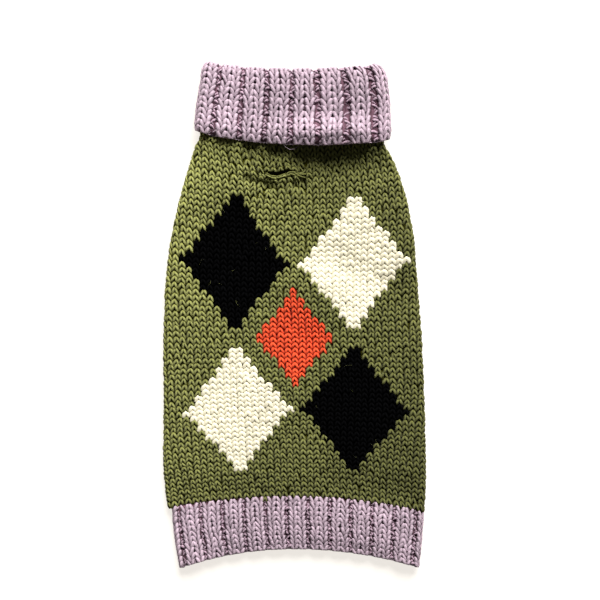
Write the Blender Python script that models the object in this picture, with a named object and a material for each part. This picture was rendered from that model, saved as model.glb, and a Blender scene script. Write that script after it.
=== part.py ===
"""Hand-knitted dog sweater lying flat on its belly side.

A tube of thick knitting: a back panel that wraps round both folded side edges to a seam underneath, a belly panel
between the two seams, a ribbed collar turned down once over the neck, and a ribbed hem. The front legs go through
two unsewn stretches of the seams, and the leash through a short slit behind the collar.

Metres, +Z up. +Y runs from the hem to the collar and +X to the garment's right side as it lies. The origin is at the
centre of the footprint, on the surface that the sweater lies on.
"""

import math
from collections import namedtuple

import bmesh
import bpy
from mathutils import Matrix, Vector

MM = 0.001

# Driving dimensions, in millimetres.
BODY_WALL = 3.0  # stockinette in a thick wool yarn
RIB_WALL = 3.4  # the plain wall behind the ribs
SEAM_GAP = 0.3  # between pieces that are sewn together
CENTRE_X = 0.55  # the tables' own frame to the centre of the footprint
CENTRE_Y = 0.3

# A section is one round of the flattened tube. mid_y is where it crosses x = 0; the side folds lie at left_x and
# right_x, and left_dy and right_dy further along, because the rounds bow. floor_z is its underside,
# edge_z its height at the side folds and mid_z its height in the middle.
Section = namedtuple("Section", "mid_y left_x left_dy right_x right_dy floor_z edge_z mid_z")

BODY = [
    #       mid_y   left_x left_dy right_x right_dy floor_z edge_z mid_z
    Section(141.2, -73.6, 5.2, 70.6, 2.6, 4.4, 12.2, 12.0),
    Section(135.0, -74.2, 5.0, 70.6, 2.8, 4.2, 12.2, 12.0),
    Section(128.0, -77.0, 4.6, 72.0, 3.1, 3.0, 11.6, 11.4),
    Section(120.0, -80.4, 4.0, 77.0, 3.3, 0.6, 10.2, 10.0),
    Section(108.4, -84.0, 3.5, 82.4, 3.0, 0.0, 9.6, 9.2),
    Section(85.0, -90.8, 2.5, 89.6, 2.0, 0.0, 9.6, 8.4),
    Section(56.9, -97.2, 1.0, 94.6, 1.0, 0.0, 9.6, 8.2),
    Section(19.5, -101.4, 0.0, 97.7, -0.5, 0.0, 9.6, 8.2),
    Section(-27.3, -102.8, -1.5, 101.2, -2.5, 0.0, 9.6, 8.2),
    Section(-69.4, -102.4, -3.5, 102.8, -5.0, 0.0, 9.6, 8.2),
    Section(-113.4, -102.8, -6.0, 103.8, -8.5, 0.0, 9.6, 8.2),
    Section(-141.2, -99.8, -8.0, 103.0, -11.7, 0.0, 9.4, 8.4),
]
HEM = [
    Section(-141.5, -95.6, -8.3, 101.8, -12.1, 0.0, 8.6, 8.4),
    Section(-161.5, -93.6, -11.5, 100.2, -14.0, 0.0, 8.6, 8.4),
    Section(-182.5, -89.4, -14.8, 97.9, -14.5, 0.0, 9.2, 9.0),
]
COLLAR = [
    Section(192.3, -70.4, 5.6, 67.6, 3.4, 0.0, 16.2, 16.0),
    Section(186.0, -72.0, 5.8, 71.2, 3.4, 0.0, 16.4, 16.2),
    Section(176.0, -73.2, 6.0, 73.4, 3.3, 0.0, 16.6, 16.4),
    Section(160.0, -75.9, 6.1, 75.0, 3.2, 0.0, 16.6, 16.4),
    Section(135.0, -78.4, 6.2, 75.7, 3.1, 0.0, 16.4, 16.2),
]
EDGE_EASE = 30.0  # how far in from a side fold the top settles from edge_z to mid_z
FOLDS_END = 8.0  # the soft forms fade out over this distance from a side fold

# Soft forms of the top layer: a ridge (height above 0) or a trough along the line from start to end.
Fold = namedtuple("Fold", "start_x start_y end_x end_y width height")
FOLDS = [
    Fold(-31.0, 105.2, 4.0, 107.0, 3.4, 1.6),  # the slit's lower lip
    Fold(-27.0, 116.8, 4.0, 116.6, 4.2, 1.5),  # its upper lip
    Fold(9.0, 111.0, 15.0, 112.0, 3.6, 1.2),  # the knot at its right end
    Fold(-38.0, 104.6, -22.0, 99.6, 4.0, -1.5),  # the crease at its left end
    Fold(8.0, 100.0, -4.0, 55.0, 12.0, -1.3),
    Fold(28.0, 42.0, 98.0, 10.0, 13.0, -1.5),
    Fold(50.0, 78.0, 86.0, 60.0, 18.0, 1.2),
    Fold(-15.0, 42.0, 30.0, 0.0, 22.0, 1.1),
    Fold(8.0, -20.0, 10.0, -85.0, 11.0, -1.1),
    Fold(25.0, -126.0, 88.0, -136.0, 9.0, -1.0),
    Fold(-68.0, 92.0, -80.0, 52.0, 18.0, 1.0),
    Fold(-66.0, -78.0, -74.0, -118.0, 20.0, 0.9),
    Fold(-88.0, 14.0, -50.0, 34.0, 10.0, -0.9),
    Fold(-60.0, -20.0, -40.0, -60.0, 24.0, 0.7),
]

# The leash slit.
SLIT_X, SLIT_Y = -10.5, 111.2
SLIT_LENGTH, SLIT_WIDTH = 26.0, 3.4

# The seams lie underneath, at this share of the half width, and the leg openings are unsewn stretches of them.
SEAM_SHARE = 0.62
LEG_Y = 83.0
LEG_LENGTH, LEG_WIDTH = 60.0, 36.0
LEG_MARGIN = 3.0  # the close rounds run this far past the leg openings

# Ribs: two knit wales stand up, one purl wale lies back.
HEM_RIBS = 12  # on the top, from side fold to side fold
COLLAR_RIBS = 8
HEM_RELIEF = 1.0
COLLAR_RELIEF = 1.3
EDGE_ROUND = 1.2  # how far a free edge is rounded back
# One rib's outline: places across it, as shares of the pitch from its middle, and its height from 0 to 1 there.
RIB_POINTS = ((-0.5, 0.0), (-0.39, 0.15), (-0.27, 1.0), (0.0, 0.9), (0.27, 1.0), (0.39, 0.15))

# The collar's turned-down flap.
FLAP_SLACK = 0.4  # between the flap and the stand inside it
FLAP_EDGE_Y = 135.0
STAND_END_Y = 141.5
FOLD_TOP_Y = 192.3
FLAP_LIFT = 2.6  # how far the flap's free edge stands off on the right
LIFT_START_Y = 158.0  # the flap starts to stand off here
LIFT_RUN = 22.0  # and is fully off this much lower

COLOURS = {
    "olive_wool": (0.19, 0.19, 0.045),
    "lilac_wool": (0.42, 0.31, 0.37),
}


def smooth_step(t):
    t = min(max(t, 0.0), 1.0)
    return t * t * (3.0 - 2.0 * t)


def section_at(table, mid_y):
    """The round at mid_y: a smooth curve through each column of the table, which runs from high y to low y."""
    rows = sorted(table, key=lambda row: row.mid_y)
    knots = [row.mid_y for row in rows]
    last = len(rows) - 1
    i = max(0, min(last - 1, sum(knot <= mid_y for knot in knots) - 1))
    span = knots[i + 1] - knots[i]
    t = min(max((mid_y - knots[i]) / span, 0.0), 1.0)

    def column(values):
        def slope(k):
            a, b = max(k - 1, 0), min(k + 1, last)
            return (values[b] - values[a]) / (knots[b] - knots[a])

        return (
            values[i] * (1 + 2 * t) * (1 - t) ** 2
            + values[i + 1] * t * t * (3 - 2 * t)
            + span * (slope(i) * t * (1 - t) ** 2 - slope(i + 1) * t * t * (1 - t))
        )

    section = Section(mid_y, *[column(values) for values in zip(*[row[1:] for row in rows])])
    return section._replace(floor_z=max(section.floor_z, 0.0))


def fold_height(x, y):
    """The soft relief of the top layer at x, y."""
    total = 0.0
    for fold in FOLDS:
        along = Vector((fold.end_x - fold.start_x, fold.end_y - fold.start_y))
        off = Vector((x - fold.start_x, y - fold.start_y))
        share = min(max(off.dot(along) / along.length_squared, 0.0), 1.0)
        distance = (off - along * share).length
        total += fold.height * math.exp(-((distance / fold.width) ** 2))
    return total


def half_girth(section):
    """(flat half width, fold radius, distance from the middle of the top to a side fold), round the cloth."""
    radius = (section.edge_z - section.floor_z) / 2
    flat = (section.right_x - section.left_x) / 2 - radius
    return flat, radius, flat + radius * math.pi / 2


def tube_point(section, q, inset=0.0, raised=0.0, folds=False):
    """A point of the flattened tube. q is 0 in the middle of the top, -1 and 1 at the side folds and -2 and 2 in the
    middle of the underside. inset goes inwards through the wall, and raised outwards, on the top only."""
    flat, radius, girth = half_girth(section)
    side = math.copysign(1.0, q)
    on_top = abs(q) <= 1.0
    run = girth * (abs(q) if on_top else 2.0 - abs(q))
    turn = max(run - flat, 0.0) / radius
    across = min(run, flat) + radius * math.sin(turn)
    out_x, out_z = math.sin(turn), math.cos(turn) * (1 if on_top else -1)
    x = (section.left_x + section.right_x) / 2 + side * across
    if x < 0:
        y = section.mid_y + section.left_dy * (x / section.left_x) ** 2
    else:
        y = section.mid_y + section.right_dy * (x / section.right_x) ** 2
    z = section.floor_z + radius + radius * out_z
    move = raised * smooth_step(0.5 + 3.0 * out_z) - inset
    x += side * out_x * move
    z += out_z * move
    if on_top:
        settled = smooth_step((flat - across) / EDGE_EASE)
        z -= (section.edge_z - section.mid_z) * settled
        if folds:
            z += fold_height(x, y) * smooth_step((flat + radius - across) / FOLDS_END)
    return Vector((x - CENTRE_X, y - CENTRE_Y, z)) * MM


def loft(name, loops, close_ends, colour):
    """One closed solid through loops of points, joined in turn, with either caps or the last joined to the first."""
    bm = bmesh.new()
    rings = [[bm.verts.new(point) for point in loop] for loop in loops]
    pairs = list(zip(rings, rings[1:]))
    if not close_ends:
        pairs.append((rings[-1], rings[0]))
    count = len(rings[0])
    for ring, following in pairs:
        for k in range(count):
            after = (k + 1) % count
            bm.faces.new((ring[k], ring[after], following[after], following[k]))
    if close_ends:
        half = count // 2
        for ring in (rings[0], rings[-1]):
            for k in range(half - 1):
                bm.faces.new((ring[k], ring[k + 1], ring[count - 2 - k], ring[count - 1 - k]))
    bmesh.ops.recalc_face_normals(bm, faces=bm.faces)
    mesh = bpy.data.meshes.new(name)
    bm.to_mesh(mesh)
    bm.free()
    if mesh_volume(mesh) < 0:
        mesh.flip_normals()
    mesh.shade_smooth()
    part = bpy.data.objects.new(name, mesh)
    part.data.materials.append(wool(colour))
    garment.objects.link(part)
    return part


def mesh_volume(mesh):
    bm = bmesh.new()
    bm.from_mesh(mesh)
    volume = bm.calc_volume(signed=True)
    bm.free()
    return volume


def wool(colour):
    """The yarn's plain material, made once for each colour."""
    if colour in bpy.data.materials:
        return bpy.data.materials[colour]
    material = bpy.data.materials.new(colour)
    material.use_nodes = True
    shader = material.node_tree.nodes["Principled BSDF"]
    shader.inputs["Base Color"].default_value = (*COLOURS[colour], 1.0)
    shader.inputs["Roughness"].default_value = 0.95
    shader.inputs["Metallic"].default_value = 0.0
    return material


def spread(start, end, cells):
    return [start + (end - start) * k / cells for k in range(cells + 1)]


def leg_gap(mid_y):
    """Half the width of the unsewn gap between the two panels at mid_y."""
    share = (mid_y - LEG_Y) / (LEG_LENGTH / 2)
    if abs(share) >= 1.0:
        return SEAM_GAP / 2
    return SEAM_GAP / 2 + (LEG_WIDTH - SEAM_GAP) / 2 * (1 - share * share) ** 0.6


def body_stations():
    """Rounds close together at the collar, the slit and the leg openings, and wider apart below them."""
    top, fine_end, bottom = BODY[0].mid_y, LEG_Y - LEG_LENGTH / 2 - LEG_MARGIN, BODY[-1].mid_y
    levels = spread(top, fine_end, 19) + spread(fine_end, bottom, 18)[1:]
    return [section_at(BODY, level) for level in levels]


def make_back_panel():
    loops = []
    for section in body_stations():
        flat, _, girth = half_girth(section)
        half_width = (section.right_x - section.left_x) / 2
        seam = 2.0 - (SEAM_SHARE * half_width + leg_gap(section.mid_y)) / girth
        tangent = flat / girth
        right = spread(tangent, 2.0 - tangent, 5)[1:] + spread(2.0 - tangent, seam, 4)[1:]
        places = [-q for q in reversed(right)] + spread(-tangent, tangent, 26) + right
        outer = [tube_point(section, q, folds=True) for q in places]
        inner = [tube_point(section, q, inset=BODY_WALL, folds=True) for q in reversed(places)]
        loops.append(outer + inner)
    panel = loft("back_panel", loops, close_ends=True, colour="olive_wool")
    cut = panel.modifiers.new("leash slit", "BOOLEAN")
    cut.operation = "DIFFERENCE"
    cut.object = make_slit_cutter()
    return panel


def make_slit_cutter():
    """An upright elliptical prism that goes through the top layer only."""
    bm = bmesh.new()
    low, high = BODY_WALL + 0.8, 20.0  # from inside the hollow to well above the cloth
    bmesh.ops.create_cone(bm, cap_ends=True, segments=24, radius1=0.5, radius2=0.5, depth=1.0)
    size = Matrix.Diagonal((SLIT_LENGTH * MM, SLIT_WIDTH * MM, (high - low) * MM, 1.0))
    place = Vector((SLIT_X - CENTRE_X, SLIT_Y - CENTRE_Y, (low + high) / 2)) * MM
    bmesh.ops.transform(bm, matrix=Matrix.Translation(place) @ size, verts=bm.verts)
    bmesh.ops.recalc_face_normals(bm, faces=bm.faces)
    mesh = bpy.data.meshes.new("slit_cutter")
    bm.to_mesh(mesh)
    bm.free()
    cutter = bpy.data.objects.new("slit_cutter", mesh)
    cutter.hide_render = True
    cutter.display_type = "WIRE"
    cutters.objects.link(cutter)
    return cutter


def make_belly_panel():
    loops = []
    for section in body_stations():
        half_width = (section.right_x - section.left_x) / 2
        edge = (SEAM_SHARE * half_width - leg_gap(section.mid_y)) / half_girth(section)[2]
        places = [math.copysign(2.0 - abs(share), share or 1.0) for share in spread(-edge, edge, 14)]
        outer = [tube_point(section, q) for q in places]
        inner = [tube_point(section, q, inset=BODY_WALL) for q in reversed(places)]
        loops.append(outer + inner)
    return loft("belly_panel", loops, close_ends=True, colour="olive_wool")


def rib_places(ribs, first_phase):
    """(q, height from 0 to 1) round a ribbed tube: a point at each turn of each rib on the top, and plain below."""
    pitch = 2.0 / ribs
    start = -1.0 + first_phase * pitch
    top = []
    for rib in range(-1, ribs + 1):
        for phase, height in RIB_POINTS:
            q = start + (rib + 0.5 + phase) * pitch
            if -1.0 < q < 1.0:
                top.append((q, height))
    right = [1.0, 1.03, 1.06] + spread(1.125, 2.0, 7)
    left = [-q for q in reversed(right[:-1])]
    return top + [(q, 0.0) for q in right + left]


def make_hem():
    places = rib_places(HEM_RIBS, first_phase=0.5)
    top, bottom = HEM[0].mid_y, HEM[-1].mid_y
    lip = EDGE_ROUND
    # (level, inset, how far the ribs are raised): down the outside, round the free edge, up the inside.
    profile = [(level, 0.0, 1.0) for level in spread(top, bottom + lip, 4)]
    profile += [(bottom, lip, 0.6), (bottom, RIB_WALL - lip, 0.0)]
    profile += [(level, RIB_WALL, 0.0) for level in spread(bottom + lip, top, 2)]
    loops = []
    for level, inset, share in profile:
        section = section_at(HEM, level)
        loops.append(
            [tube_point(section, q, inset, height * share * HEM_RELIEF) for q, height in places]
        )
    return loft("hem", loops, close_ends=False, colour="lilac_wool")


def make_collar():
    places = rib_places(COLLAR_RIBS, first_phase=0.0)
    fold_radius = RIB_WALL + FLAP_SLACK / 2
    fold_start = FOLD_TOP_Y - fold_radius
    lip = EDGE_ROUND
    # (level, inset, how far the ribs are raised, whether it is the flap).
    profile = [(level, 0.0, 1.0, True) for level in spread(FLAP_EDGE_Y + lip, fold_start, 5)]
    for turn in spread(0.0, math.pi, 6)[1:-1]:
        profile.append(
            (
                fold_start + fold_radius * math.sin(turn),
                fold_radius * (1 - math.cos(turn)),
                math.cos(turn / 2),
                False,
            )
        )
    stand_inner, stand_outer = 2 * fold_radius, RIB_WALL + FLAP_SLACK
    profile += [(level, stand_inner, 0.0, False) for level in spread(fold_start, STAND_END_Y, 3)]
    profile += [(level, stand_outer, 0.0, False) for level in spread(STAND_END_Y, fold_start, 3)]
    profile += [(level, RIB_WALL, 0.0, True) for level in spread(fold_start, FLAP_EDGE_Y + lip, 5)]
    profile += [(FLAP_EDGE_Y, RIB_WALL - lip, 0.0, True), (FLAP_EDGE_Y, lip, 0.6, True)]
    loops = []
    for level, inset, share, is_flap in profile:
        section = section_at(COLLAR, level)
        loop = []
        for q, height in places:
            point = tube_point(section, q, inset, height * share * COLLAR_RELIEF)
            if is_flap and abs(q) < 1.0:
                point.z += flap_lift(level, q) * MM
            loop.append(point)
        loops.append(loop)
    return loft("collar", loops, close_ends=False, colour="lilac_wool")


def flap_lift(level, q):
    """How far the turned-down flap stands off the body near its free edge, more on the right than on the left."""
    down = smooth_step((LIFT_START_Y - level) / LIFT_RUN)
    across = smooth_step((q + 0.35) / 0.7) * smooth_step((1.0 - abs(q)) / 0.12)
    return FLAP_LIFT * down * across


def clear_scene():
    for item in list(bpy.data.objects):
        bpy.data.objects.remove(item)


clear_scene()
garment = bpy.data.collections.new("dog_sweater")
cutters = bpy.data.collections.new("cutters")
for collection in (garment, cutters):
    bpy.context.scene.collection.children.link(collection)
make_back_panel()
make_belly_panel()
make_collar()
make_hem()
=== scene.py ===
import math

import bmesh
import bpy
import numpy as np
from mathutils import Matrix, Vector


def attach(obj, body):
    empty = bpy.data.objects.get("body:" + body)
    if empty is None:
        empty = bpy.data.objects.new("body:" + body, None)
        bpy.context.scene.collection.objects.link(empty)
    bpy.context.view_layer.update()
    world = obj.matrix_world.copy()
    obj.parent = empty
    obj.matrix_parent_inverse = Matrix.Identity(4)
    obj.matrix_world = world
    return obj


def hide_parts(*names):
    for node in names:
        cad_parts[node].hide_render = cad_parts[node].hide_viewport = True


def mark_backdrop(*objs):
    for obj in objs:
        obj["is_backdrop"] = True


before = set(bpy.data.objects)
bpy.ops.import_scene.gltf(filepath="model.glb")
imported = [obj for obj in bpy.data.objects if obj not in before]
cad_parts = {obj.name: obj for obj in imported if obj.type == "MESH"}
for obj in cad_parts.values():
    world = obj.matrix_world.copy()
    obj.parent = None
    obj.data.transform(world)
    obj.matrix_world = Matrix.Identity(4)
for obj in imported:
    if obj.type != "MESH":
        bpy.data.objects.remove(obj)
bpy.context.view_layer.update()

MM = 0.001
CENTRE_X, CENTRE_Y = 0.55, 0.3  # the tables' own frame to the centre of the footprint
WALL = 3.0
RIB_WALL = 3.4

# Rounds of the flattened tube, in millimetres: where each crosses x = 0, its side folds and how far they lie
# further along, and its heights at the floor, at the side folds and in the middle.
BODY = np.array(
    [
        # mid_y  left_x left_dy right_x right_dy floor edge  mid
        (141.2, -73.6, 5.2, 70.6, 2.6, 4.4, 12.2, 12.0),
        (135.0, -74.2, 5.0, 70.6, 2.8, 4.2, 12.2, 12.0),
        (128.0, -77.0, 4.6, 72.0, 3.1, 3.0, 11.6, 11.4),
        (120.0, -80.4, 4.0, 77.0, 3.3, 0.6, 10.2, 10.0),
        (108.4, -84.0, 3.5, 82.4, 3.0, 0.0, 9.6, 9.2),
        (85.0, -90.8, 2.5, 89.6, 2.0, 0.0, 9.6, 8.4),
        (56.9, -97.2, 1.0, 94.6, 1.0, 0.0, 9.6, 8.2),
        (19.5, -101.4, 0.0, 97.7, -0.5, 0.0, 9.6, 8.2),
        (-27.3, -102.8, -1.5, 101.2, -2.5, 0.0, 9.6, 8.2),
        (-69.4, -102.4, -3.5, 102.8, -5.0, 0.0, 9.6, 8.2),
        (-113.4, -102.8, -6.0, 103.8, -8.5, 0.0, 9.6, 8.2),
        (-141.2, -99.8, -8.0, 103.0, -11.7, 0.0, 9.4, 8.4),
    ]
)
HEM = np.array(
    [
        (-141.5, -95.6, -8.3, 101.8, -12.1, 0.0, 8.6, 8.4),
        (-161.5, -93.6, -11.5, 100.2, -14.0, 0.0, 8.6, 8.4),
        (-182.5, -89.4, -14.8, 97.9, -14.5, 0.0, 9.2, 9.0),
    ]
)
COLLAR = np.array(
    [
        (192.3, -70.0, 5.6, 67.2, 3.4, 0.0, 14.6, 13.8),
        (186.0, -72.0, 5.8, 71.2, 3.4, 0.0, 15.8, 15.3),
        (176.0, -73.2, 6.0, 73.4, 3.3, 0.0, 16.6, 16.4),
        (160.0, -75.9, 6.1, 75.0, 3.2, 0.0, 16.6, 16.4),
        (135.0, -78.4, 6.2, 75.7, 3.1, 0.0, 16.4, 16.2),
    ]
)
EDGE_EASE = 30.0  # the top layer settles from its side folds to its middle over this width
FOLDS_END = 8.0  # and its soft folds die away over this width at the side folds
REST = 0.05  # the lowest yarn over the floor
# Soft ridges and troughs of the top layer: start x, y, end x, y, width, height.
FOLDS = (
    (-31.0, 105.2, 4.0, 107.0, 3.4, 1.6),
    (-27.0, 116.8, 4.0, 116.6, 4.2, 1.5),
    (9.0, 111.0, 15.0, 112.0, 3.6, 1.2),
    (12.0, 121.0, 60.0, 118.0, 12.0, -3.3),
    (-62.0, 122.0, -36.0, 121.0, 9.0, 0.7),
    (-36.5, 106.6, -19.0, 100.4, 3.8, -3.2),
    (-27.0, 104.0, -22.0, 101.0, 3.0, -1.2),
    (-40.0, 111.5, -31.0, 109.5, 4.0, 1.0),
    (6.0, 106.0, 9.0, 99.0, 2.2, -1.6),
    (0.5, 104.0, 1.5, 98.0, 1.8, -1.3),
    (8.0, 100.0, -4.0, 55.0, 13.0, -2.3),
    (28.0, 42.0, 98.0, 10.0, 13.0, -2.2),
    (50.0, 78.0, 86.0, 60.0, 18.0, 1.2),
    (-15.0, 42.0, 30.0, 0.0, 22.0, 1.1),
    (8.0, -20.0, 10.0, -85.0, 11.0, -1.1),
    (25.0, -126.0, 88.0, -136.0, 9.0, -1.0),
    (-84.0, -145.0, 84.0, -143.0, 14.0, -2.1),
    (-78.0, 96.0, -40.0, 100.0, 15.0, 1.8),
    (-66.0, -78.0, -74.0, -118.0, 20.0, 0.9),
    (-88.0, 14.0, -50.0, 34.0, 10.0, -0.9),
    (-60.0, -20.0, -40.0, -60.0, 24.0, 0.7),
)
SEAM_SHARE = 0.62  # the two side seams lie underneath, at this share of half the width
SEAM_GAP = 0.3
LEG_Y, LEG_LENGTH, LEG_WIDTH = 83.0, 60.0, 36.0

# The collar's flap, its stand and the fold between them.
FLAP_EDGE_Y, STAND_END_Y, FOLD_TOP_Y = 135.0, 141.5, 192.3
FLAP_SLACK = 0.4  # between the flap and the stand
# The flap starts to stand off the neck here, and is fully off this much lower.
LIFT_START_Y, LIFT_RUN = 158.0, 22.0
LEFT_LIFT, RIGHT_LIFT = 1.4, 10.5  # how far it stands off to the left and to the right
# How far the flap's edge hangs down, at shares of the way from the middle to a side fold and on underneath.
SAG_AT = (-1.5, -1.0, -0.9, -0.75, -0.2, 0.3, 0.8, 0.93, 1.0)
SAGS = (0.0, -3.2, -2.6, -0.6, 1.6, 3.2, 2.6, 1.2, 0.0)

# Gauge of the body: a mean stitch, counts of rows from the hem seam and their levels, and widths of a wale.
WALE, ROW = 5.4, 3.9
ROWS_AT = (0, 16, 32, 46, 58, 65, 72)
LEVELS_AT = (-141.2, -82.0, -21.5, 33.4, 82.6, 111.2, 141.2)
BODY_ROWS = ROWS_AT[-1]
BEYOND_ROW = 4.0  # height of a row past the two ends
WALE_LEVELS, WALE_WIDTHS = (-141.0, -110.0, -60.0, 60.0, 141.0), (5.05, 5.2, 5.42, 5.47, 5.3)
# How much further the rows lie along at the left and right side folds than the outline does.
BOW_LEVELS = (-141.2, -110.0, -60.0, 0.0, 30.0, 70.0, 110.0, 141.2)
LEFT_BOW = (0.0, -4.0, -2.0, 3.0, 6.0, 9.0, 8.0, 2.0)
RIGHT_BOW = (0.0, 0.0, 1.5, 4.5, 5.0, 5.0, 4.0, 1.5)

WALE_SHIFT = 1.4  # the middle wale lies this far off the middle
SWAY, RISE = 0.5, 0.55  # how unevenly the wales and rows lie

# The leash slit lies between two rows, over five wales. Its middle, length and half opening in millimetres.
SLIT_ROW, SLIT_FIRST, SLIT_LAST = 65, -4.5, 0.5
SLIT_MID = (SLIT_FIRST + SLIT_LAST) / 2
SLIT_Y, SLIT_ACROSS, SLIT_LENGTH, SLIT_OPEN = 111.2, -11.2, 22.5, 1.4
SLIT_WAVES = ((-1.5, 6.5, -1.5), (7.5, 4.5, 1.0))  # place along it, width and height of its two waves
# Wales from its middle to the last stitches of its upper lip, and to the last ones that stop at it.
LIP_REACH, STOP_REACH = 2.6, 1.8
# Wales and rows that it pulls out of line.
DRAWN_WALES, DRAWN_ROWS = (-7, 3), (59, 69)

# Ribs of two knit wales and a purl one: how many rows and ribs, and where the hem's middle groove lies.
RIB = 3
HEM_ROWS, HEM_RIBS, HEM_PHASE = 11, 12, 7.8
FLAP_ROWS, STAND_ROWS, COLLAR_RIBS = 11, 4, 8
# The collar's purl grooves on top: places round it from the middle, and their widths as shares of a wale.
GROOVES = (-60.5, -41.0, -21.4, -1.8, 18.8, 41.2, 63.0)
GROOVE_AT, GROOVE_WIDTHS = (-12.0, 0.0, 9.0, 24.0), (0.48, 0.58, 0.80, 0.66)
HEM_GROOVE = 0.5
HEM_GIRTH, COLLAR_GIRTH = 101.0, 80.0  # from the middle of the top to a side fold
EDGE_DIP, SEAM_DIP = 1.9, 1.5  # how far the hem's top lies lower at its free edge and its seam
# How far the knit wales stand up and the purl ones lie down, and how much both lie lower than a plain cloth.
HEM_RELIEF, HEM_LOWER = 0.95, 0.35
COLLAR_RELIEF, COLLAR_LOWER = 1.3, 0.5

# Yarns as they lie in the stitches: width, and height as a share of it.
BODY_YARN, FULL_YARN, HEM_YARN, COLLAR_YARN = 2.4, 3.4, 2.85, 3.2
ROUNDED, FULL_ROUNDED = 0.62, 0.36
UNDER = -1.75  # where the cloth lies under its stitches
HEM_UNDER, COLLAR_UNDER = UNDER - 0.3, UNDER - 0.6
# LIT is the range of painted shade in a body stitch: how far its low side turns into the wool's painted
# shading colour.
LIT = (-0.3, 1.0)  # how much of the bright yarn shows, from the low side of a stitch to its top


# ---- The lie of the cloth ----


def smooth_step(t):
    t = np.clip(t, 0.0, 1.0)
    return t * t * (3.0 - 2.0 * t)


def round_at(table, level):
    """The columns of a table of rounds at each level, on smooth curves."""
    rows = table[np.argsort(table[:, 0])]
    knots, values = rows[:, 0], rows[:, 1:]
    last = len(rows) - 1
    before = np.maximum(np.arange(last + 1) - 1, 0)
    after = np.minimum(np.arange(last + 1) + 1, last)
    slopes = (values[after] - values[before]) / (knots[after] - knots[before])[:, None]
    level = np.asarray(level, float)
    i = np.clip(np.searchsorted(knots, level, side="right") - 1, 0, last - 1)
    span = (knots[i + 1] - knots[i])[..., None]
    t = np.clip((level - knots[i])[..., None] / span, 0.0, 1.0)
    at = values[i] * (1 + 2 * t) * (1 - t) ** 2 + values[i + 1] * t * t * (3 - 2 * t)
    at = at + span * (slopes[i] * t * (1 - t) ** 2 - slopes[i + 1] * t * t * (1 - t))
    left_x, left_dy, right_x, right_dy, floor_z, edge_z, mid_z = np.moveaxis(at, -1, 0)
    return left_x, left_dy, right_x, right_dy, np.maximum(floor_z, 0.0), edge_z, mid_z


def top_girth(table, level):
    """From the middle of the top to a side fold, round the cloth."""
    left_x, _, right_x, _, floor_z, edge_z, _ = round_at(table, level)
    radius = (edge_z - floor_z) / 2
    return (right_x - left_x) / 2 - radius + radius * math.pi / 2


def soft_forms(x, y):
    total = np.zeros_like(x)
    for start_x, start_y, end_x, end_y, width, height in FOLDS:
        run_x, run_y = end_x - start_x, end_y - start_y
        share = np.clip(((x - start_x) * run_x + (y - start_y) * run_y) / (run_x**2 + run_y**2), 0.0, 1.0)
        off = (x - start_x - share * run_x) ** 2 + (y - start_y - share * run_y) ** 2
        total += height * np.exp(-off / width**2)
    return total


def on_tube(table, level, across, out, folds=False, lie_flat=0.0, tuck=0.0, dip=0.0):
    """Points of the flattened tube. across runs round the cloth from the middle of the top, and out stands
    off it. What stands off is moved in by lie_flat underneath, so that it rests on the floor, and by tuck at
    the side folds. The top layer lies lower by dip."""
    left_x, left_dy, right_x, right_dy, floor_z, edge_z, mid_z = round_at(table, level)
    radius = (edge_z - floor_z) / 2
    flat = (right_x - left_x) / 2 - radius
    girth = flat + radius * math.pi / 2
    side = np.where(across < 0, -1.0, 1.0)
    far = np.abs(across)
    on_top = far <= girth
    run = np.where(on_top, far, 2 * girth - far)
    turn = np.maximum(run - flat, 0.0) / radius
    reach = np.minimum(run, flat) + radius * np.sin(turn)
    out_x, out_z = np.sin(turn), np.cos(turn) * np.where(on_top, 1.0, -1.0)
    x = (left_x + right_x) / 2 + side * reach
    bow = np.where(x < 0, left_dy * (x / left_x) ** 2, right_dy * (x / right_x) ** 2)
    y = level + bow
    out = out - lie_flat * smooth_step(-out_z * 1.6) - tuck * out_x**2
    z = floor_z + radius + (radius + out) * out_z
    x = x + side * out_x * out
    settled = smooth_step((flat - reach) / EDGE_EASE)
    z = np.where(on_top, z - (edge_z - mid_z + dip) * settled, z)
    if folds:
        z = np.where(on_top, z + soft_forms(x, y) * smooth_step((flat + radius - reach) / FOLDS_END), z)
    return np.stack((x - CENTRE_X, y - CENTRE_Y, np.maximum(z, REST)), axis=-1) * MM


def waver(a, b, seed):
    """A slow unevenness over the cloth, mostly between -1 and 1, as hand tension leaves it."""
    rng = np.random.default_rng(seed)
    total = np.zeros(np.broadcast(a, b).shape)
    for _ in range(5):
        turn, phase = rng.uniform(0, 2 * math.pi, 2)
        wave = rng.uniform(18.0, 55.0)
        total = total + np.sin((a * math.cos(turn) + b * math.sin(turn)) * 2 * math.pi / wave + phase)
    return total / 3.0


def body_level(rows):
    inside = np.clip(rows, 0, BODY_ROWS)
    return np.interp(inside, ROWS_AT, LEVELS_AT) + (rows - inside) * BEYOND_ROW


def wale_width(level):
    return np.interp(level, WALE_LEVELS, WALE_WIDTHS)


def slit_shift(across, level):
    """Moves the rows apart at the leash slit, waves them along it, and pulls them in below its right end."""
    dx, dy = across - SLIT_ACROSS, level - SLIT_Y
    mouth = np.clip(1.0 - (2 * dx / SLIT_LENGTH) ** 2, 0.0, 1.0)
    apart = np.where(dy >= 0, 1.0, -1.0) * SLIT_OPEN * mouth * np.exp(-np.abs(dy) / 5.0)
    wave = sum(high * np.exp(-(((dx - at) / width) ** 2)) for at, width, high in SLIT_WAVES)
    wave = wave * np.exp(-((dy / 7.0) ** 2))
    end = 0.5 * SLIT_LENGTH + 2.0
    near = np.exp(-(((dx - end) / 9.0) ** 2 + ((dy + 9.0) / 8.0) ** 2))
    return -near * 0.28 * (dx - end), apart + wave + near * 2.2


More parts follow.
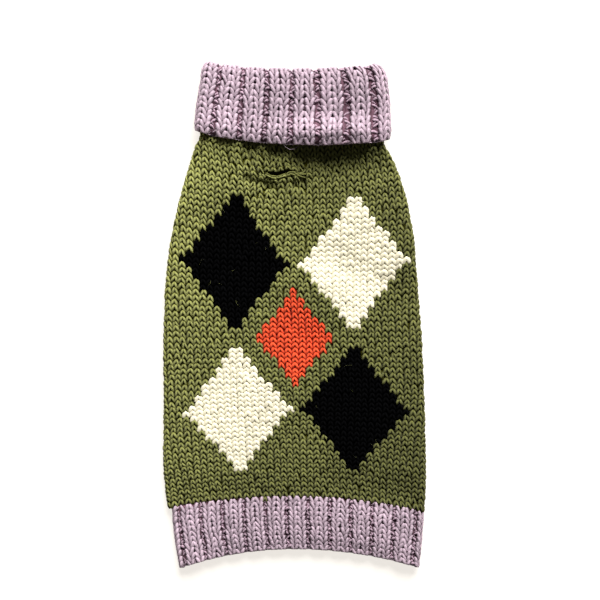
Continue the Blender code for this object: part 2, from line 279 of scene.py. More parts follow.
def on_body(wales, rows, out, lie_flat=1.0, tuck=1.2):
    """Points of the back: wales from its middle, rows from the hem."""
    level = body_level(rows)
    across = wales * wale_width(level) + WALE_SHIFT
    girth = top_girth(BODY, level)
    share = np.minimum(np.abs(across), 2 * girth - np.abs(across)) / girth
    left_bow, right_bow = (np.interp(level, BOW_LEVELS, bows) for bows in (LEFT_BOW, RIGHT_BOW))
    bow = np.where(across < 0, left_bow, right_bow)
    sway, rise = waver(across, level, 3) * SWAY, waver(across, level, 5) * RISE
    pull_x, pull_y = slit_shift(across, level)
    inside = np.clip(rows / 3.0, 0.0, 1.0) * np.clip((BODY_ROWS - rows) / 3.0, 0.0, 1.0)
    level = level + bow * share**2 + (rise + pull_y) * inside
    across = across + sway * inside + pull_x
    return on_tube(BODY, level, across, out, folds=True, lie_flat=lie_flat, tuck=tuck)


def leg_gap(level):
    share = np.clip(np.abs((level - LEG_Y) / (LEG_LENGTH / 2)), 0.0, 1.0)
    return SEAM_GAP / 2 + (LEG_WIDTH - SEAM_GAP) / 2 * (1 - share * share) ** 0.6


def seam_reach(level):
    """Half the distance between the two side seams, underneath."""
    left_x, _, right_x, _, _, _, _ = round_at(BODY, level)
    return SEAM_SHARE * (right_x - left_x) / 2


def on_belly(wales, rows, out, lie_flat=1.0):
    """Wales of the belly panel, from its middle."""
    level = body_level(rows)
    places = wales * wale_width(level)
    across = np.where(places < 0, -1.0, 1.0) * (2 * top_girth(BODY, level) - np.abs(places))
    return on_tube(BODY, level, across, out, lie_flat=lie_flat)


def rib_lie(wales, purl_share):
    """K2 P1: where a wale lies across the rib, in wales, and how far it stands up from -1 to 1."""
    rib = np.round(wales / RIB)
    part = wales - RIB * rib
    far = np.abs(part)
    beyond = 0.5 * purl_share + (far - 0.5) * (1.5 - 0.5 * purl_share)
    lie = np.where(far < 0.5, far * purl_share, beyond)
    height = -1.0 + 2.0 * smooth_step((far - 0.34) / 0.42) - 0.2 * smooth_step((far - 1.0) / 0.5)
    return RIB * rib + np.sign(part) * lie, height


def hem_level(rows):
    return HEM[-1, 0] + rows * (HEM[0, 0] - HEM[-1, 0]) / HEM_ROWS


def hem_dip(rows):
    """The hem turns down a little at its free edge, and dips into the seam with the body."""
    edge, seam = smooth_step((3.4 - rows) / 3.8), smooth_step((rows - HEM_ROWS + 4.0) / 4.0)
    return EDGE_DIP * edge + SEAM_DIP * seam


def on_hem(wales, rows, out):
    level = hem_level(np.maximum(rows, -0.1))
    girth = top_girth(HEM, level)
    lie, height = rib_lie(wales, HEM_GROOVE)
    across = (lie / (RIB * HEM_RIBS) * 2 + HEM_PHASE / HEM_GIRTH) * girth
    across = across + waver(across, level, 11) * 0.35
    across = np.mod(across + 2 * girth, 4 * girth) - 2 * girth
    out = out + HEM_RELIEF * height - HEM_LOWER
    return on_tube(HEM, level, across, out, lie_flat=1.7, tuck=1.3, dip=hem_dip(rows))


def flap_lift(level, share):
    """How far the flap stands off the neck: most at the right, and less at its free edge."""
    down = smooth_step((LIFT_START_Y - level) / LIFT_RUN)
    down = down - 0.4 * smooth_step((FLAP_EDGE_Y + 9.0 - level) / 10.0)
    lift = LEFT_LIFT + (RIGHT_LIFT - LEFT_LIFT) * smooth_step((share + 0.5) / 0.85)
    lift = lift - (RIGHT_LIFT - LEFT_LIFT) * smooth_step((share - 0.55) / 0.32)
    return lift * down * smooth_step((1.0 - np.abs(share)) / 0.12)


FOLD_RADIUS = RIB_WALL + FLAP_SLACK / 2
FOLD_START = FOLD_TOP_Y - FOLD_RADIUS
FLAP_RUN = FOLD_START - FLAP_EDGE_Y
FOLD_RUN = math.pi * FOLD_RADIUS
COLLAR_RUN = FLAP_RUN + FOLD_RUN + FOLD_START - STAND_END_Y
COLLAR_ROW = FLAP_RUN / FLAP_ROWS


def on_collar_run(run, share, out, lie_flat=1.9, tuck=1.5):
    """The collar's cloth: run goes up the flap from its free edge, over the fold and down the stand."""
    turn = np.clip((run - FLAP_RUN) / FOLD_RADIUS, 0.0, math.pi)
    past = np.maximum(run - FLAP_RUN - FOLD_RUN, 0.0)
    over = out - tuck * np.sin(turn) ** 2
    level = FLAP_EDGE_Y + np.minimum(run, FLAP_RUN) - past + (FOLD_RADIUS + over) * np.sin(turn)
    inset = FOLD_RADIUS * (1 - np.cos(turn))
    across = share * top_girth(COLLAR, level)
    slack = 1.0 - np.minimum(run, FLAP_RUN) / FLAP_RUN
    level = level - slack * np.interp(share, SAG_AT, SAGS)
    flat = lie_flat * np.cos(turn / 2) ** 2
    out, tuck = over * np.cos(turn) - inset, tuck * np.cos(turn)
    points = on_tube(COLLAR, level, across, out, lie_flat=flat, tuck=tuck)
    lift = flap_lift(level, share) * (run < FLAP_RUN) * (np.abs(share) < 1.0)
    points[..., 2] += lift * MM
    return points


def collar_share(lie):
    """Where a wale lies round the collar, as a share of half its girth, from the places of the grooves."""
    count = len(GROOVES)
    ribs = (-COLLAR_RIBS, *range(-(count // 2), count // 2 + 1), COLLAR_RIBS)
    places = (-2 * COLLAR_GIRTH, *GROOVES, 2 * COLLAR_GIRTH)
    return np.interp(lie / RIB, ribs, places) / COLLAR_GIRTH


def on_collar(wales, rows, out):
    """The collar's wales and rows. Its ribs are nearly flat at the side folds, and its edge turns down."""
    lie, height = rib_lie(wales, np.interp(wales, GROOVE_AT, GROOVE_WIDTHS))
    run = np.maximum(rows, -0.12) * COLLAR_ROW
    share = collar_share(lie) + waver(lie * 6.6, run, 17) * 0.004
    pulled = np.exp(-(((np.abs(share) - 1.03) / 0.09) ** 2))
    height = height + (1.0 - height) * 0.65 * pulled
    edge = smooth_step(1.0 - rows / 1.2)
    out = out + COLLAR_RELIEF * height - COLLAR_LOWER - 0.9 * edge
    return on_collar_run(run, share, out, tuck=0.8 + 0.7 * height)


# ---- Yarn ----


def new_object(name, data):
    made = bpy.data.objects.new(name, data)
    bpy.context.scene.collection.objects.link(made)
    return made


def tapered(thickness, steps, ends):
    """Widths of a yarn that is plump in the middle. ends say how full it stays at its two ends, up to 1."""
    widths = []
    for k in range(steps + 1):
        along = k / steps
        share = ends[0] + (ends[1] - ends[0]) * along
        widths.append(thickness * (share + (1.0 - share) * math.sin(math.pi * (0.06 + 0.88 * along)) ** 0.7))
    return widths


def strand(path, widths, sides=6, flat=1.0):
    """A short length of yarn along path, of the given widths, closed at both ends. flat is its height as a
    share of its width. Gives (points, faces, uv of each face's corners)."""
    steps = len(path) - 1
    path = [Vector(p) for p in path]
    bm = bmesh.new()
    uv = bm.loops.layers.uv.new("yarn")
    bmesh.ops.create_grid(bm, x_segments=sides, y_segments=steps, size=0.5)
    for face in bm.faces:
        for loop in face.loops:
            loop[uv].uv = (loop.vert.co.x + 0.5, loop.vert.co.y + 0.5)
    for v in bm.verts:
        around, k = v.co.x + 0.5, round((v.co.y + 0.5) * steps)
        ahead = (path[min(k + 1, steps)] - path[max(k - 1, 0)]).normalized()
        aside = ahead.cross(Vector((0, 0, 1))).normalized()
        turn = 2 * math.pi * around
        above = flat * math.sin(turn) * aside.cross(ahead)
        v.co = path[k] + widths[k] / 2 * (math.cos(turn) * aside + above)
    bmesh.ops.remove_doubles(bm, verts=bm.verts, dist=1e-4)
    bmesh.ops.holes_fill(bm, edges=[e for e in bm.edges if e.is_boundary], sides=sides)
    bmesh.ops.recalc_face_normals(bm, faces=bm.faces)
    bm.verts.index_update()
    points = np.array([v.co[:] for v in bm.verts])
    faces = [[v.index for v in face.verts] for face in bm.faces]
    corners = [[loop[uv].uv[:] for loop in face.loops] for face in bm.faces]
    bm.free()
    return points, faces, corners


def as_stitch(strands, width, height):
    """Strands in millimetres made one stitch, in wales and rows."""
    points, faces, corners, start = [], {}, {}, 0
    for one_points, one_faces, one_corners in strands:
        points.append(one_points)
        for face, corner in zip(one_faces, one_corners):
            faces.setdefault(len(face), []).append([i + start for i in face])
            corners.setdefault(len(face), []).append(corner)
        start += len(one_points)
    points = np.concatenate(points)
    points[:, 0] /= width
    points[:, 1] /= height
    return points, {n: np.array(f) for n, f in faces.items()}, {n: np.array(c) for n, c in corners.items()}


# Half of the arch where two wales meet, from its top to the end that goes under: place in wales and rows, how
# far out, and width as a share of the yarn's.
ARCH = (
    (0.00, 0.88, -0.55, 0.60),
    (0.07, 0.79, -0.25, 0.76),
    (0.17, 0.53, 0.15, 0.94),
    (0.28, 0.20, 0.15, 0.98),
    (0.38, -0.12, -0.35, 0.90),
    (0.48, -0.42, -1.15, 0.75),
)


def knit_arch(yarn, sides=6, points=range(len(ARCH)), relief=1.0, flat=ROUNDED):
    """Where two wales of the body meet, the legs of their stitches lie together as one round arch."""
    half = [ARCH[k] for k in points]
    whole = [(-x, y, h, w) for x, y, h, w in half[:0:-1]] + half
    path = [(x * WALE, y * ROW, h * relief) for x, y, h, _ in whole]
    return as_stitch([strand(path, [w * yarn for *_, w in whole], sides, flat=flat)], WALE, ROW)


def plain_arch():
    """The arch in fewer faces, for where it hardly shows."""
    return knit_arch(BODY_YARN, sides=5, points=(0, 2, 4, 5))


def knit_stitch(width, height, yarn, foot, top, low, high, relief, steps=6, sides=7):
    """The two legs of a knit stitch, from a foot near the middle of the wale to a top at its side. foot and
    top are places across it in wales, low and high are their levels in rows."""
    crown = 1.3  # how far the middle of a leg stands over its foot
    legs = []
    for side in (-1.0, 1.0):
        path = []
        for k in range(steps + 1):
            t = k / steps
            x = foot + (top - foot) * t**1.15
            y = low + (high - low) * t
            h = relief * (crown * math.sin(math.pi * 0.68 * t) ** 0.9 - crown) + 0.3
            path.append((side * x * width, y * height, h))
        legs.append(strand(path, tapered(yarn, steps, (0.8, 0.55)), sides, flat=ROUNDED))
    return as_stitch(legs, width, height)


def purl_bumps(width, height, thickness, steps=4, sides=5):
    """A purl stitch: a short arc across the wale, and a deeper one between it and the next stitch."""
    arcs = []
    for at, middle, size, lift in ((0.45, 0.08, 1.0, 0.1), (0.95, -0.06, 0.85, -0.5)):
        path = []
        for k in range(steps + 1):
            t = 2 * k / steps - 1
            x, y = (middle + 0.4 * size * t) * width, (at - 0.2 * t * t) * height
            path.append((x, y, lift - 0.9 * t * t))
        arcs.append(strand(path, tapered(size * thickness, steps, (0.7, 0.7)), sides))
    return as_stitch(arcs, width, height)


def chain_link(width, height, thickness, steps=4, sides=6, spread=0.2):
    """One link of a bound-off edge: two legs that lie along the edge."""
    legs = []
    for side in (-1.0, 1.0):
        path = []
        for k in range(steps + 1):
            t = k / steps
            x, y = (-0.62 + 1.2 * t) * width, side * spread * (0.4 + t) * height
            path.append((x, y, 0.1 + 0.6 * math.sin(math.pi * t)))
        legs.append(strand(path, tapered(thickness, steps, (0.5, 0.5)), sides))
    return as_stitch(legs, width, height)


# How unevenly stitches are knitted: the spread of their size, lean, place, tilt and height.
SIZE_SPREAD, LEAN_SPREAD, PLACE_SPREAD, TILT_SPREAD, OUT_SPREAD = 0.05, 0.05, 0.045, 0.04, 0.12


def lay_stitches(place, stitch, wales, rows, seed, loose=1.0, lift=0.0, shown=(0.0, 1.0), slant=0.0):
    """Copies of one stitch, each a little uneven, as one batch of yarn."""
    points, faces, corners = stitch
    rng = np.random.default_rng(seed)
    count = len(wales)
    size = 1.0 + SIZE_SPREAD * loose * rng.standard_normal((count, 1))
    lean = LEAN_SPREAD * loose * rng.standard_normal((count, 1))
    shift = PLACE_SPREAD * loose * rng.standard_normal((count, 2))
    x, y, h = points.T[:, None]
    at_x = wales[:, None] + shift[:, :1] + x * size + lean * (y - 0.5)
    tilt = slant * np.where(rows % 2 < 1, 1.0, -1.0)[:, None]
    tilt = tilt + TILT_SPREAD * loose * rng.standard_normal((count, 1))
    at_y = rows[:, None] + shift[:, 1:] + y + tilt * x
    out = h * size + OUT_SPREAD * loose * rng.standard_normal((count, 1)) + lift
    laid = place(at_x, at_y, out).reshape(-1, 3)
    # crest sets the painted shade: shown[0] at a stitch's lowest point, where it turns into the painted
    # shading colour, up to shown[1] at its top.
    crest = shown[0] + (shown[1] - shown[0]) * (points[:, 2] - points[:, 2].min()) / np.ptp(points[:, 2])
    crest = np.tile(crest, count)
    tint = np.repeat(rng.standard_normal(count), len(points))
    along = rng.integers(0, 7, (count, 1, 1))
    starts = np.arange(count)[:, None, None] * len(points)
    groups = []
    for n, group in faces.items():
        uv = np.broadcast_to(corners[n][None], (count, *corners[n].shape)).copy()
        uv[..., 1] += along
        groups.append(((group[None] + starts).reshape(-1, n), uv.reshape(-1, 2)))
    return laid, groups, tint, crest


def yarn_piece(name, batches, material):
    """One piece from batches of yarn."""
    points, parts, tints, crests = zip(*batches)
    starts = np.cumsum([0, *map(len, points)])
    groups = [group + start for start, part in zip(starts, parts) for group, _ in part]
    uvs = [uv for part in parts for _, uv in part]
    corners = np.concatenate([group.reshape(-1) for group in groups])
    totals = np.concatenate([np.full(len(group), group.shape[1]) for group in groups])
    mesh = bpy.data.meshes.new(name)
    mesh.vertices.add(starts[-1])
    mesh.vertices.foreach_set("co", np.concatenate(points).astype(np.float32).ravel())
    mesh.loops.add(len(corners))
    mesh.loops.foreach_set("vertex_index", corners.astype(np.int32))
    mesh.polygons.add(len(totals))
    firsts = np.concatenate(([0], np.cumsum(totals)[:-1]))
    mesh.polygons.foreach_set("loop_start", firsts.astype(np.int32))
    mesh.update(calc_edges=True)
    along = mesh.uv_layers.new(name="yarn")
    along.uv.foreach_set("vector", np.concatenate(uvs).astype(np.float32).ravel())
    for label, values in (("tint", tints), ("crest", crests)):
        attribute = mesh.attributes.new(label, "FLOAT", "POINT")
        attribute.data.foreach_set("value", np.concatenate(values).astype(np.float32))
    mesh.shade_smooth()
    mesh.materials.append(material)
    return new_object(name, mesh)


def lay_strand(place, path, thickness, sides=6, tint=0.0):
    """One free length of yarn that follows (wale, row, out) points of a cloth."""
    wales, rows, out = np.array(path, float).T
    laid = place(wales, rows, out) / MM
    widths = tapered(thickness, len(laid) - 1, (0.5, 0.5))
    points, faces, corners = as_stitch([strand(laid, widths, sides)], 1.0, 1.0)
    groups = [(faces[n], corners[n].reshape(-1, 2)) for n in faces]
    return points * MM, groups, np.full(len(points), tint), np.ones(len(points))


def hairs(place, wales, rows, count, seed):
    """Loose fibres that stand off the cloth in slack curves."""
    rng = np.random.default_rng(seed)
    batches = []
    for _ in range(count):
        wale, row = rng.uniform(*wales), rng.uniform(*rows)
        turn, curl = rng.uniform(0, 2 * math.pi), rng.normal(0, 1.4)
        length, high = rng.uniform(0.5, 1.6), rng.uniform(0.5, 2.0)
        path = []
        for k in range(6):
            wale += length / 5 * math.cos(turn + curl * k / 5)
            row += length / 5 * math.sin(turn + curl * k / 5)
            path.append((wale, row, 0.3 + high * math.sin(math.pi * k / 5)))
        batches.append(lay_strand(place, path, rng.uniform(0.08, 0.13), sides=3, tint=2.0))
    return batches


# ---- Cloth under the stitches ----


def cloth(name, columns, rows, place, wall, materials, yarn_of=None, tube=False, hole=None):
    """A sheet on a grid of columns and rows, with its wall inwards. place turns grid places into points. hole
    is a row of faces to leave out, and its two edges are joined where they touch."""
    bm = bmesh.new()
    uv = bm.loops.layers.uv.new("yarn")
    wide, high = len(columns) - 1, len(rows) - 1
    bmesh.ops.create_grid(bm, x_segments=wide, y_segments=high, size=0.5)
    c = np.array([round((v.co.x + 0.5) * wide) for v in bm.verts])
    r = np.array([round((v.co.y + 0.5) * high) for v in bm.verts])
    points = place(c, r)
    bm.verts.index_update()
    bm.faces.index_update()
    strip = []
    for face in bm.faces:
        row, column = (min(places[v.index] for v in face.verts) for places in (r, c))
        if yarn_of:
            face.material_index = int(yarn_of(row, column))
        for loop in face.loops:
            loop[uv].uv = (columns[c[loop.vert.index]], rows[r[loop.vert.index]])
        if row == hole:
            strip.append(face)
    for v, point in zip(bm.verts, points):
        v.co = point
    bmesh.ops.delete(bm, geom=strip, context="FACES_ONLY")
    if tube or strip:
        bmesh.ops.remove_doubles(bm, verts=bm.verts, dist=2e-5)
    mesh = bpy.data.meshes.new(name)
    bm.to_mesh(mesh)
    bm.free()
    mesh.shade_smooth()
    for material in materials:
        mesh.materials.append(material)
    piece = new_object(name, mesh)
    thick = piece.modifiers.new("wall", "SOLIDIFY")
    thick.thickness = wall * MM
    thick.offset = -1.0
    thick.material_offset = len(materials) - 1
    thick.material_offset_rim = len(materials) - 1
    return piece


# ---- Materials ----

# A slow change of tone over the garment, darker towards the right and lower down: its rate per metre to the
# right and towards the collar, and its level in the middle.
SLOW_TONE_ACROSS, SLOW_TONE_ALONG, SLOW_TONE_LEVEL = -4.0, 2.2, -0.38
MIX_FROM, MIX_TO, MIX_RESULT = 6, 7, 2  # the colour sockets of a Mix node


def fill_in(node, values):
    for name, value in values.items():
        node.inputs[name].default_value = value


def yarn_group():
    """Plied wool. Its colour turns into a painted shading colour low down in a stitch, and is darker at the
    sides of each strand, as painted shade, with a painted highlight along the top of each strand's second
    half. It also has flecks, each stitch's own tone, slow patches and a slow change of tone over the garment,
    darker towards the right and lower down."""
    group = bpy.data.node_groups.new("plied wool", "ShaderNodeTree")
    for name in ("Colour", "Painted shading colour"):
        group.interface.new_socket(name, in_out="INPUT", socket_type="NodeSocketColor")
    for name in ("Side shade", "Tone spread", "Heather", "Fade"):
        group.interface.new_socket(name, in_out="INPUT", socket_type="NodeSocketFloat")
    group.interface.new_socket("Colour", in_out="OUTPUT", socket_type="NodeSocketColor")
    group.interface.new_socket("Height", in_out="OUTPUT", socket_type="NodeSocketFloat")
    nodes, links = group.nodes, group.links

    def node(kind, **settings):
        made = nodes.new(kind)
        for key, value in settings.items():
            setattr(made, key, value)
        return made

    def maths(operation, *values):
        made = node("ShaderNodeMath", operation=operation)
        for socket, value in zip(made.inputs, values):
            if isinstance(value, (int, float)):
                socket.default_value = value
            else:
                links.new(value, socket)
        return made.outputs[0]

    def noise(vector, scale, detail):
        made = node("ShaderNodeTexNoise")
        fill_in(made, {"Scale": scale, "Detail": detail})
        links.new(vector, made.inputs["Vector"])
        return made.outputs["Fac"]

    entry, leave = node("NodeGroupInput"), node("NodeGroupOutput")
    uv = node("ShaderNodeUVMap", uv_map="yarn")
    split = node("ShaderNodeSeparateXYZ")
    links.new(uv.outputs["UV"], split.inputs[0])
    around, along = split.outputs["X"], split.outputs["Y"]
    # strand_top is 1 along the top and bottom of each strand and 0 at its sides. It shapes the bump, and also
    # the colour: painted shade at the sides and a painted highlight along the top.
    strand_top = maths("POWER", maths("ABSOLUTE", maths("SINE", maths("MULTIPLY", around, 2 * math.pi))), 1.3)
    # Painted highlight: a bright streak along the top of each strand's second half.
    falling = maths("SINE", maths("MULTIPLY", maths("FRACT", along), -2 * math.pi))
    painted_highlight = maths("MULTIPLY", maths("POWER", strand_top, 4.0), maths("MAXIMUM", falling, 0.0))
    where = node("ShaderNodeTexCoord").outputs["Object"]
    stretched = node("ShaderNodeCombineXYZ")
    links.new(maths("MULTIPLY_ADD", around, 14.0, maths("MULTIPLY", along, 5.0)), stretched.inputs["X"])
    links.new(maths("MULTIPLY", along, 2.0), stretched.inputs["Y"])
    fleck, patch = noise(where, 900.0, 3.0), noise(where, 17.0, 2.0)
    fibre = noise(stretched.outputs[0], 1.0, 2.0)
    tint = node("ShaderNodeAttribute", attribute_name="tint")
    crest = node("ShaderNodeAttribute", attribute_name="crest")
    tone = maths("MULTIPLY", tint.outputs["Fac"], entry.outputs["Tone spread"])
    patchy = maths("MULTIPLY", maths("SUBTRACT", patch, 0.5), 0.55)
    grain = maths("ADD", maths("SUBTRACT", fleck, 0.5), maths("SUBTRACT", fibre, 0.5))
    flecks = maths("MULTIPLY", grain, entry.outputs["Heather"])
    # Painted shade: the sides of each strand are painted darker, where they turn from the light and meet
    # their neighbours.
    side_shade = maths("MULTIPLY", maths("SUBTRACT", strand_top, 1.0), entry.outputs["Side shade"])
    level = maths("ADD", maths("ADD", tone, patchy), maths("ADD", flecks, side_shade))
    level = maths("MULTIPLY_ADD", painted_highlight, 0.24, level)
    level = maths("MAXIMUM", maths("ADD", level, 1.0), 0.2)
    spot = node("ShaderNodeSeparateXYZ")
    links.new(where, spot.inputs[0])
    # A slow change of tone with place, darker towards the right and lower down, scaled by each wool's own
    # setting.
    fade = maths("MULTIPLY_ADD", spot.outputs["Y"], SLOW_TONE_ALONG, SLOW_TONE_LEVEL)
    fade = maths("MULTIPLY_ADD", spot.outputs["X"], SLOW_TONE_ACROSS, fade)
    level = maths("MULTIPLY", level, maths("EXPONENT", maths("MULTIPLY", fade, entry.outputs["Fade"])))
    # Painted shade: by the crest attribute, the colour turns into the painted shading colour low down in each
    # stitch. For most wools that colour is darker; for the cream it is lighter, painted light that lifts its
    # shade.
    root = node("ShaderNodeMix", data_type="RGBA")
    links.new(crest.outputs["Fac"], root.inputs["Factor"])
    links.new(entry.outputs["Painted shading colour"], root.inputs[MIX_FROM])
    links.new(entry.outputs["Colour"], root.inputs[MIX_TO])
    shade = node("ShaderNodeVectorMath", operation="SCALE")
    links.new(root.outputs[MIX_RESULT], shade.inputs[0])
    links.new(level, shade.inputs["Scale"])
    links.new(shade.outputs[0], leave.inputs["Colour"])
    fuzz = maths("ADD", maths("MULTIPLY", fleck, 0.6), maths("MULTIPLY", fibre, 0.6))
    links.new(maths("ADD", strand_top, fuzz), leave.inputs["Height"])
    return group


PLIED_WOOL = yarn_group()


def new_material(name):
    """A material, its nodes, its links and its main shader."""
    material = bpy.data.materials.new(name)
    material.use_nodes = True
    tree = material.node_tree
    return material, tree.nodes, tree.links, tree.nodes["Principled BSDF"]


def wool(name, colour, root, side_shade=0.25, tone=0.07, heather=0.4, sheen=0.03, bump=0.7, gloss=0.05, fade=0.0):
    """Wool in one colour, which turns into root, its painted shading colour, low down in a stitch."""
    material, nodes, links, shader = new_material(name)
    fill_in(shader, {"Roughness": 0.9, "Specular IOR Level": gloss})
    fill_in(shader, {"Sheen Weight": sheen, "Sheen Roughness": 0.6})
    yarn = nodes.new("ShaderNodeGroup")
    yarn.node_tree = PLIED_WOOL
    fill_in(yarn, {"Colour": (*colour, 1.0), "Painted shading colour": (*root, 1.0), "Side shade": side_shade})
    fill_in(yarn, {"Tone spread": tone, "Heather": heather, "Fade": fade})
    relief = nodes.new("ShaderNodeBump")
    fill_in(relief, {"Strength": bump, "Distance": 0.0006})
    links.new(yarn.outputs["Colour"], shader.inputs["Base Color"])
    links.new(yarn.outputs["Height"], relief.inputs["Height"])
    links.new(relief.outputs["Normal"], shader.inputs["Normal"])
    return material


def purl_side(name, colour):
    """The inside of the cloth, with small bumps in rows, painted darker in the hollows between them as
    painted shade.
    """
    material, nodes, links, shader = new_material(name)
    fill_in(shader, {"Roughness": 0.92, "Specular IOR Level": 0.1})
    uv = nodes.new("ShaderNodeUVMap")
    uv.uv_map = "yarn"
    bumps = nodes.new("ShaderNodeTexWave")
    bumps.wave_type = "BANDS"
    bumps.bands_direction = "Y"
    # This scale gives a little over three bands to a row.
    fill_in(bumps, {"Scale": 1.0 / math.pi * 3.2, "Distortion": 3.0, "Detail": 1.0})
    links.new(uv.outputs["UV"], bumps.inputs["Vector"])
    tones = nodes.new("ShaderNodeMix")
    tones.data_type = "RGBA"
    links.new(bumps.outputs["Fac"], tones.inputs["Factor"])
    # Painted shade: the hollows between the bumps are painted at 0.35 of the colour.
    painted_hollow_shade = [0.35 * c for c in colour]
    fill_in(tones, {MIX_FROM: (*painted_hollow_shade, 1.0), MIX_TO: (*colour, 1.0)})
    links.new(tones.outputs[MIX_RESULT], shader.inputs["Base Color"])
    relief = nodes.new("ShaderNodeBump")
    fill_in(relief, {"Strength": 0.8, "Distance": 0.001})
    links.new(bumps.outputs["Fac"], relief.inputs["Height"])
    links.new(relief.outputs["Normal"], shader.inputs["Normal"])
    return material


def wool_underneath(name, colour, **finish):
    """A wool on the cloth under the stitches, in one flat colour, which is painted shade where it is darker
    than the wool.
    """
    return wool(f"{name} wool underneath", colour, colour, **finish)


# Each wool's second colour is its painted shading colour, which the low parts of its stitches turn into:
# darker than the wool, as painted shade, except for the cream's, which is lighter, painted light that lifts
# its shade. The setting for the sides of each strand paints them darker, also painted shade.
SMOOTH_CREAM = {"side_shade": 0.0, "tone": 0.03, "heather": 0.2, "sheen": 0.18, "bump": 0.15}
MIXED_LILAC = {"side_shade": 0.16, "heather": 1.1, "sheen": 0.08, "bump": 0.45, "fade": 0.2}
OLIVE = wool(
    "olive wool", (0.220, 0.229, 0.078), (0.150, 0.150, 0.005), side_shade=0.26, heather=0.9, bump=0.55, fade=0.9
)
LILAC = wool("lilac wool", (0.405, 0.312, 0.372), (0.31, 0.190, 0.255), **MIXED_LILAC)
DARKEST = (0.0001, 0.0001, 0.0001)
BLACK = wool("black wool", (0.0010, 0.0010, 0.0012), DARKEST, sheen=0.0, gloss=0.02)
ORANGE = wool("orange wool", (0.66, 0.074, 0.026), (0.56, 0.022, 0.002), side_shade=0.16, bump=0.3)
CREAM = wool("cream wool", (0.665, 0.62, 0.465), (0.93, 0.86, 0.60), **SMOOTH_CREAM)
# The cloth under the stitches shows in the gaps between them. The olive, lilac and orange are painted shade
# there, darker than their wool; the cream is lighter, painted light that lifts its shade; the black is its
# own colour.
OLIVE_UNDER = wool_underneath("olive", (0.100, 0.098, 0.003), fade=0.9)
LILAC_UNDER = wool_underneath("lilac", (0.16, 0.082, 0.112), fade=0.3)
BLACK_UNDER = wool_underneath("black", DARKEST, sheen=0.0, gloss=0.0)
ORANGE_UNDER = wool_underneath("orange", (0.50, 0.025, 0.002))
CREAM_UNDER = wool_underneath("cream", (0.86, 0.78, 0.52))
OLIVE_PURL = purl_side("olive wool, purl side", (0.20, 0.195, 0.06))
LILAC_PURL = purl_side("lilac wool, purl side", (0.50, 0.36, 0.43))


# ---- The back ----

YARNS = ("olive", "black", "cream", "orange")
# Lozenges knitted into the back.
LOZENGES = (
    # wale row  half_wide half_high yarn
    (-8.5, 47.5, 7.5, 13.0, "black"),
    (8.5, 47.5, 7.5, 13.0, "cream"),
    (-8.5, 18.5, 7.5, 13.0, "cream"),
    (8.5, 18.5, 7.5, 13.0, "black"),
    (0.0, 33.0, 5.5, 9.5, "orange"),
)
# The olive stitches of the top are three pieces: name, first row, row after the last.
BANDS = (("lower", 0, 24), ("middle", 24, 48), ("upper", 48, BODY_ROWS))


def yarn_at(wales, rows):
    """The yarn of each stitch, as its place in YARNS."""
    chosen = np.zeros(np.broadcast(wales, rows).shape, int)
    for wale, row, half_wide, half_high, colour in LOZENGES:
        inside = np.abs(wales - wale) / half_wide + np.abs(rows + 0.5 - row) / half_high <= 1.0
        chosen = np.where(inside, YARNS.index(colour), chosen)
    return chosen


def seam_wale(rows):
    """Wales from the middle of the back to the seam underneath."""
    level = body_level(rows)
    end = 2 * top_girth(BODY, level) - seam_reach(level) - leg_gap(level)
    return end / wale_width(level)


def grid_of(first, last, rows):
    """Each wale from first to last in each of the rows, as two flat arrays."""
    wale, row = np.meshgrid(np.arange(first, last + 1), np.arange(rows))
    return wale.ravel().astype(float), row.ravel().astype(float)


def make_back():
    """Three bands of olive on top, the olive underneath, and one piece for each yarn of the lozenges."""
    wale, row = grid_of(-33, 33, BODY_ROWS)
    keep = np.abs(wale + WALE_SHIFT / WALE) < seam_wale(row + 0.5) - 0.45
    wale, row = wale[keep], row[keep]
    colour = yarn_at(wale, row)
    level = body_level(row + 0.5)
    shown = np.abs(wale) * wale_width(level) < top_girth(BODY, level) + 3.0
    fine, full = knit_arch(BODY_YARN), knit_arch(FULL_YARN, relief=0.3, flat=FULL_ROUNDED)
    pieces = []
    for band, low, high in BANDS:
        part = shown & (colour == YARNS.index("olive")) & (row >= low) & (row < high)
        lip = part & (row == SLIT_ROW) & (np.abs(wale - SLIT_MID) < LIP_REACH)
        drawn = part & ~lip & between(wale, DRAWN_WALES) & between(row, DRAWN_ROWS)
        even = part & ~lip & ~drawn
        batches = [
            lay_stitches(on_body, fine, wale[even], row[even], seed=low + 1, loose=1.5, shown=LIT),
            *hairs(on_body, (-18, 18), (low, high), 40, seed=low + 2),
        ]
        if low == 0:
            # One stitch reaches down into the hem.
            stray_wale, stray_row = np.array([-5.1]), np.array([-0.95])
            batches.append(lay_stitches(on_body, fine, stray_wale, stray_row, seed=7, shown=LIT))
        if high == BODY_ROWS:
            batches += slit_edges()
            batches += drawn_stitches(fine, wale, row, drawn)
            batches += hairs(on_body, DRAWN_WALES, (66, 69), 25, seed=9)
            batches.append(lay_stitches(on_upper_lip, fine, wale[lip], row[lip], seed=6, lift=0.3, shown=LIT))
        pieces.append(yarn_piece(f"back_stitches_{band}", batches, OLIVE))
    batch = lay_stitches(on_body, plain_arch(), wale[~shown], row[~shown], seed=77)
    pieces.append(yarn_piece("back_stitches_underneath", [batch], OLIVE))
    for index, arch, material in ((1, fine, BLACK), (2, full, CREAM), (3, fine, ORANGE)):
        part = colour == index
        batch = lay_stitches(on_body, arch, wale[part], row[part], seed=80 + index)
        pieces.append(yarn_piece(f"back_lozenges_{YARNS[index]}", [batch], material))
    return pieces


def between(values, ends):
    return (values > ends[0]) & (values < ends[1])


def on_upper_lip(wales, rows, out):
    """Stitches over the slit start at its upper lip."""
    return on_body(wales, np.maximum(rows, SLIT_ROW + 0.03), out)


